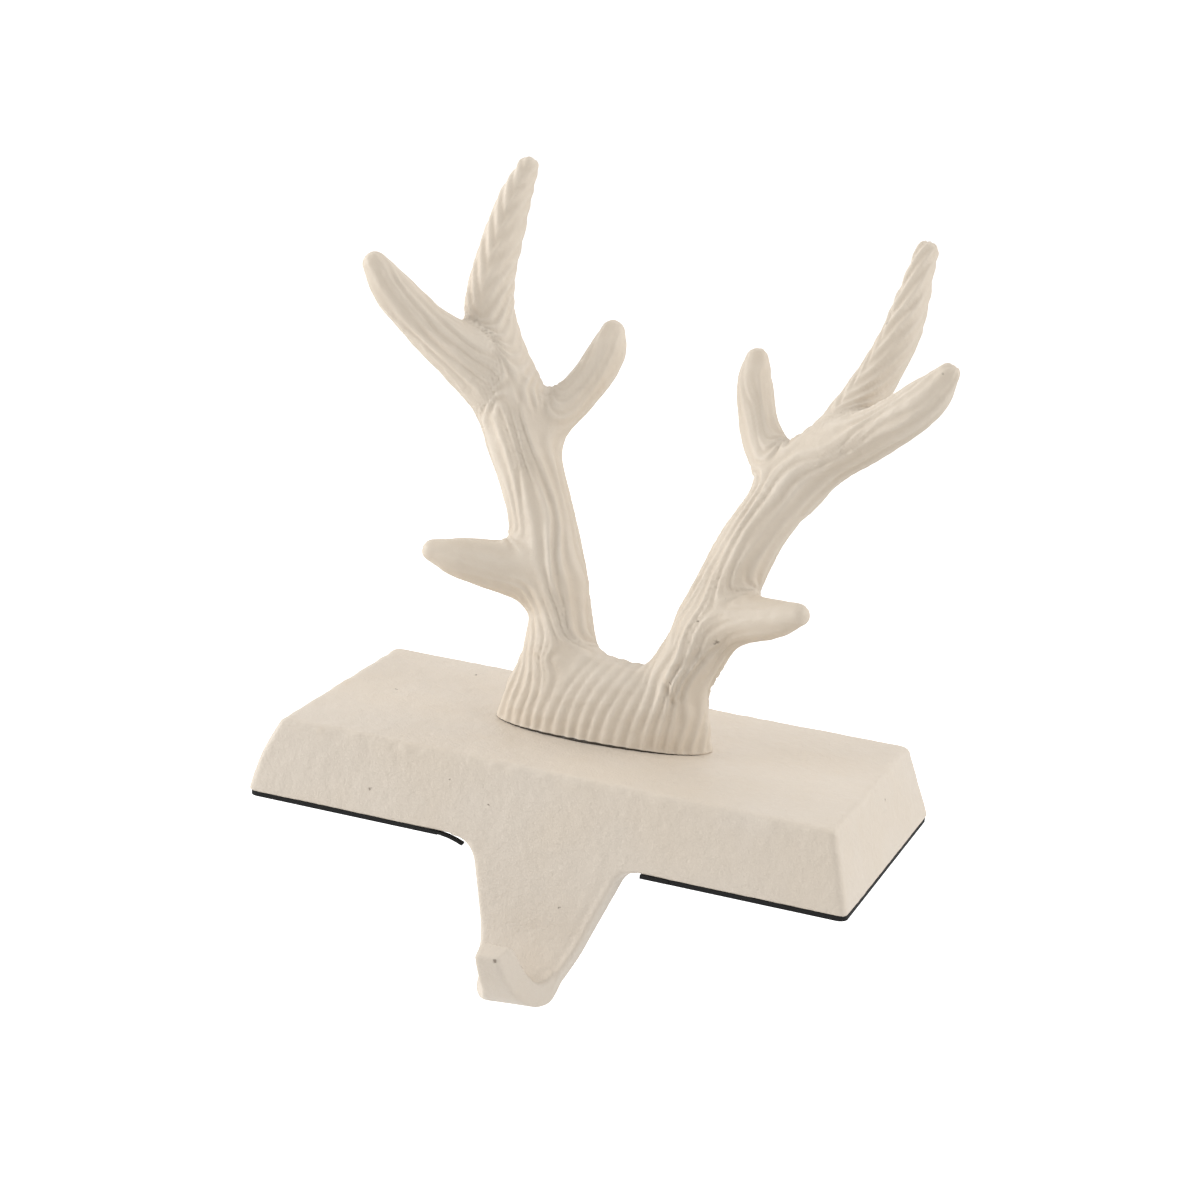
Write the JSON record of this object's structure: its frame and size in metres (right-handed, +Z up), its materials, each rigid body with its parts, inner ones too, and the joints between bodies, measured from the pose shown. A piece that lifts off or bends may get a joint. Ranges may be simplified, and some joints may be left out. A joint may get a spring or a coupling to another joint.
{
  "type": "mantel stocking holder",
  "caption": "Weighted mantel block with a curled hook below its front edge and a branching antler pair standing on a fluted foot.",
  "frame": {"origin": "middle of the pad's underside, where the holder rests on the mantel shelf", "axes": "+Z up, -Y towards the room, where the hook hangs, +X along the shelf to the right"},
  "size_m": [0.1674, 0.1367, 0.2008],
  "materials": {
    "casting": "satin cream paint over rough cast iron",
    "fastener": "zinc plated",
    "pad": "black felt"
  },
  "bodies": {
    "root": {"base_casting": "casting", "antler_casting": "casting", "antler_screws": "fastener", "screw_washers": "fastener", "base_pad": "pad"}
  },
  "joints": []
}
